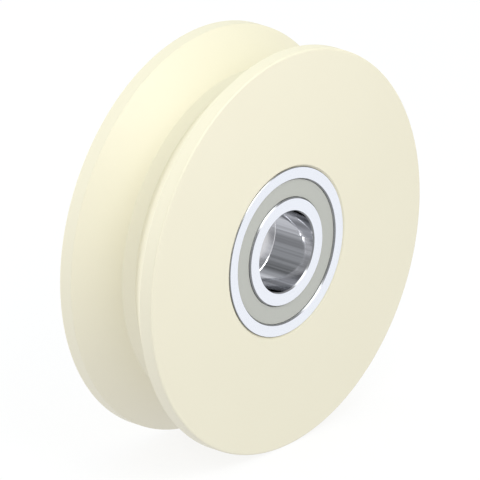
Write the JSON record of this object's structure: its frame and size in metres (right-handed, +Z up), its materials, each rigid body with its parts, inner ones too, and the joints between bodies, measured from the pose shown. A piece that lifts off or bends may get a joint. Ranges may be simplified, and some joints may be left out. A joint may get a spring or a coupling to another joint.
{
  "type": "flanged wheel",
  "caption": "Plastic wheel with a flange at each side of a V groove, turning on sealed ball bearings set flush in its faces, with an open axle bore.",
  "frame": {"origin": "the wheel's centre: on the axle's axis, midway between the two faces", "axes": "+Y along the axle, from the front face to the rear face; +Z up, with the wheel upright as it runs"},
  "size_m": [0.1, 0.0286, 0.1],
  "materials": {
    "nylon": "turned cast nylon, satin",
    "bearing_steel": "ground and polished",
    "ball_steel": "mirror polished",
    "cage_steel": "pressed sheet",
    "sleeve_steel": "turned tube",
    "seal_rubber": "matte moulded"
  },
  "bodies": {
    "bearing_core": {"front_inner_ring": "bearing_steel", "rear_inner_ring": "bearing_steel", "spacer_sleeve": "sleeve_steel"},
    "wheel": {"wheel_body": "nylon", "front_outer_ring": "bearing_steel", "rear_outer_ring": "bearing_steel", "front_outboard_seal": "seal_rubber", "front_inboard_seal": "seal_rubber", "rear_outboard_seal": "seal_rubber", "rear_inboard_seal": "seal_rubber"},
    "front_cage": {"front_outboard_cage_half": "cage_steel", "front_inboard_cage_half": "cage_steel", "front_cage_rivets": "cage_steel"},
    "front_ball_1": {"front_ball_1": "ball_steel"},
    "front_ball_2": {"front_ball_2": "ball_steel"},
    "front_ball_3": {"front_ball_3": "ball_steel"},
    "front_ball_4": {"front_ball_4": "ball_steel"},
    "front_ball_5": {"front_ball_5": "ball_steel"},
    "front_ball_6": {"front_ball_6": "ball_steel"},
    "front_ball_7": {"front_ball_7": "ball_steel"},
    "front_ball_8": {"front_ball_8": "ball_steel"},
    "front_ball_9": {"front_ball_9": "ball_steel"},
    "rear_cage": {"rear_outboard_cage_half": "cage_steel", "rear_inboard_cage_half": "cage_steel", "rear_cage_rivets": "cage_steel"},
    "rear_ball_1": {"rear_ball_1": "ball_steel"},
    "rear_ball_2": {"rear_ball_2": "ball_steel"},
    "rear_ball_3": {"rear_ball_3": "ball_steel"},
    "rear_ball_4": {"rear_ball_4": "ball_steel"},
    "rear_ball_5": {"rear_ball_5": "ball_steel"},
    "rear_ball_6": {"rear_ball_6": "ball_steel"},
    "rear_ball_7": {"rear_ball_7": "ball_steel"},
    "rear_ball_8": {"rear_ball_8": "ball_steel"},
    "rear_ball_9": {"rear_ball_9": "ball_steel"}
  },
  "joints": [
    {"name": "wheel_spin", "type": "hinge", "parent": "bearing_core", "child": "wheel", "pos_m": [0, 0, 0], "axis": [0, 1, 0], "continuous": true},
    {"name": "front_cage_spin", "type": "hinge", "parent": "bearing_core", "child": "front_cage", "pos_m": [0, -0.0083, 0], "axis": [0, 1, 0], "continuous": true},
    {"name": "front_ball_1_roll", "type": "hinge", "parent": "front_cage", "child": "front_ball_1", "pos_m": [0, -0.0083, 0.0155], "axis": [0, 1, 0], "continuous": true},
    {"name": "front_ball_2_roll", "type": "hinge", "parent": "front_cage", "child": "front_ball_2", "pos_m": [0.00996, -0.0083, 0.01187], "axis": [0, 1, 0], "continuous": true},
    {"name": "front_ball_3_roll", "type": "hinge", "parent": "front_cage", "child": "front_ball_3", "pos_m": [0.01526, -0.0083, 0.00269], "axis": [0, 1, 0], "continuous": true},
    {"name": "front_ball_4_roll", "type": "hinge", "parent": "front_cage", "child": "front_ball_4", "pos_m": [0.01342, -0.0083, -0.00775], "axis": [0, 1, 0], "continuous": true},
    {"name": "front_ball_5_roll", "type": "hinge", "parent": "front_cage", "child": "front_ball_5", "pos_m": [0.0053, -0.0083, -0.01457], "axis": [0, 1, 0], "continuous": true},
    {"name": "front_ball_6_roll", "type": "hinge", "parent": "front_cage", "child": "front_ball_6", "pos_m": [-0.0053, -0.0083, -0.01457], "axis": [0, 1, 0], "continuous": true},
    {"name": "front_ball_7_roll", "type": "hinge", "parent": "front_cage", "child": "front_ball_7", "pos_m": [-0.01342, -0.0083, -0.00775], "axis": [0, 1, 0], "continuous": true},
    {"name": "front_ball_8_roll", "type": "hinge", "parent": "front_cage", "child": "front_ball_8", "pos_m": [-0.01526, -0.0083, 0.00269], "axis": [0, 1, 0], "continuous": true},
    {"name": "front_ball_9_roll", "type": "hinge", "parent": "front_cage", "child": "front_ball_9", "pos_m": [-0.00996, -0.0083, 0.01187], "axis": [0, 1, 0], "continuous": true},
    {"name": "rear_cage_spin", "type": "hinge", "parent": "bearing_core", "child": "rear_cage", "pos_m": [0, 0.0083, 0], "axis": [0, 1, 0], "continuous": true},
    {"name": "rear_ball_1_roll", "type": "hinge", "parent": "rear_cage", "child": "rear_ball_1", "pos_m": [0, 0.0083, 0.0155], "axis": [0, 1, 0], "continuous": true},
    {"name": "rear_ball_2_roll", "type": "hinge", "parent": "rear_cage", "child": "rear_ball_2", "pos_m": [0.00996, 0.0083, 0.01187], "axis": [0, 1, 0], "continuous": true},
    {"name": "rear_ball_3_roll", "type": "hinge", "parent": "rear_cage", "child": "rear_ball_3", "pos_m": [0.01526, 0.0083, 0.00269], "axis": [0, 1, 0], "continuous": true},
    {"name": "rear_ball_4_roll", "type": "hinge", "parent": "rear_cage", "child": "rear_ball_4", "pos_m": [0.01342, 0.0083, -0.00775], "axis": [0, 1, 0], "continuous": true},
    {"name": "rear_ball_5_roll", "type": "hinge", "parent": "rear_cage", "child": "rear_ball_5", "pos_m": [0.0053, 0.0083, -0.01457], "axis": [0, 1, 0], "continuous": true},
    {"name": "rear_ball_6_roll", "type": "hinge", "parent": "rear_cage", "child": "rear_ball_6", "pos_m": [-0.0053, 0.0083, -0.01457], "axis": [0, 1, 0], "continuous": true},
    {"name": "rear_ball_7_roll", "type": "hinge", "parent": "rear_cage", "child": "rear_ball_7", "pos_m": [-0.01342, 0.0083, -0.00775], "axis": [0, 1, 0], "continuous": true},
    {"name": "rear_ball_8_roll", "type": "hinge", "parent": "rear_cage", "child": "rear_ball_8", "pos_m": [-0.01526, 0.0083, 0.00269], "axis": [0, 1, 0], "continuous": true},
    {"name": "rear_ball_9_roll", "type": "hinge", "parent": "rear_cage", "child": "rear_ball_9", "pos_m": [-0.00996, 0.0083, 0.01187], "axis": [0, 1, 0], "continuous": true}
  ],
  "couplings": [
    {"joint": "front_cage_spin", "follows": "wheel_spin", "ratio": 0.60242},
    {"joint": "front_ball_1_roll", "follows": "wheel_spin", "ratio": 2.3385},
    {"joint": "front_ball_2_roll", "follows": "wheel_spin", "ratio": 2.3385},
    {"joint": "front_ball_3_roll", "follows": "wheel_spin", "ratio": 2.3385},
    {"joint": "front_ball_4_roll", "follows": "wheel_spin", "ratio": 2.3385},
    {"joint": "front_ball_5_roll", "follows": "wheel_spin", "ratio": 2.3385},
    {"joint": "front_ball_6_roll", "follows": "wheel_spin", "ratio": 2.3385},
    {"joint": "front_ball_7_roll", "follows": "wheel_spin", "ratio": 2.3385},
    {"joint": "front_ball_8_roll", "follows": "wheel_spin", "ratio": 2.3385},
    {"joint": "front_ball_9_roll", "follows": "wheel_spin", "ratio": 2.3385},
    {"joint": "rear_cage_spin", "follows": "wheel_spin", "ratio": 0.60242},
    {"joint": "rear_ball_1_roll", "follows": "wheel_spin", "ratio": 2.3385},
    {"joint": "rear_ball_2_roll", "follows": "wheel_spin", "ratio": 2.3385},
    {"joint": "rear_ball_3_roll", "follows": "wheel_spin", "ratio": 2.3385},
    {"joint": "rear_ball_4_roll", "follows": "wheel_spin", "ratio": 2.3385},
    {"joint": "rear_ball_5_roll", "follows": "wheel_spin", "ratio": 2.3385},
    {"joint": "rear_ball_6_roll", "follows": "wheel_spin", "ratio": 2.3385},
    {"joint": "rear_ball_7_roll", "follows": "wheel_spin", "ratio": 2.3385},
    {"joint": "rear_ball_8_roll", "follows": "wheel_spin", "ratio": 2.3385},
    {"joint": "rear_ball_9_roll", "follows": "wheel_spin", "ratio": 2.3385}
  ]
}
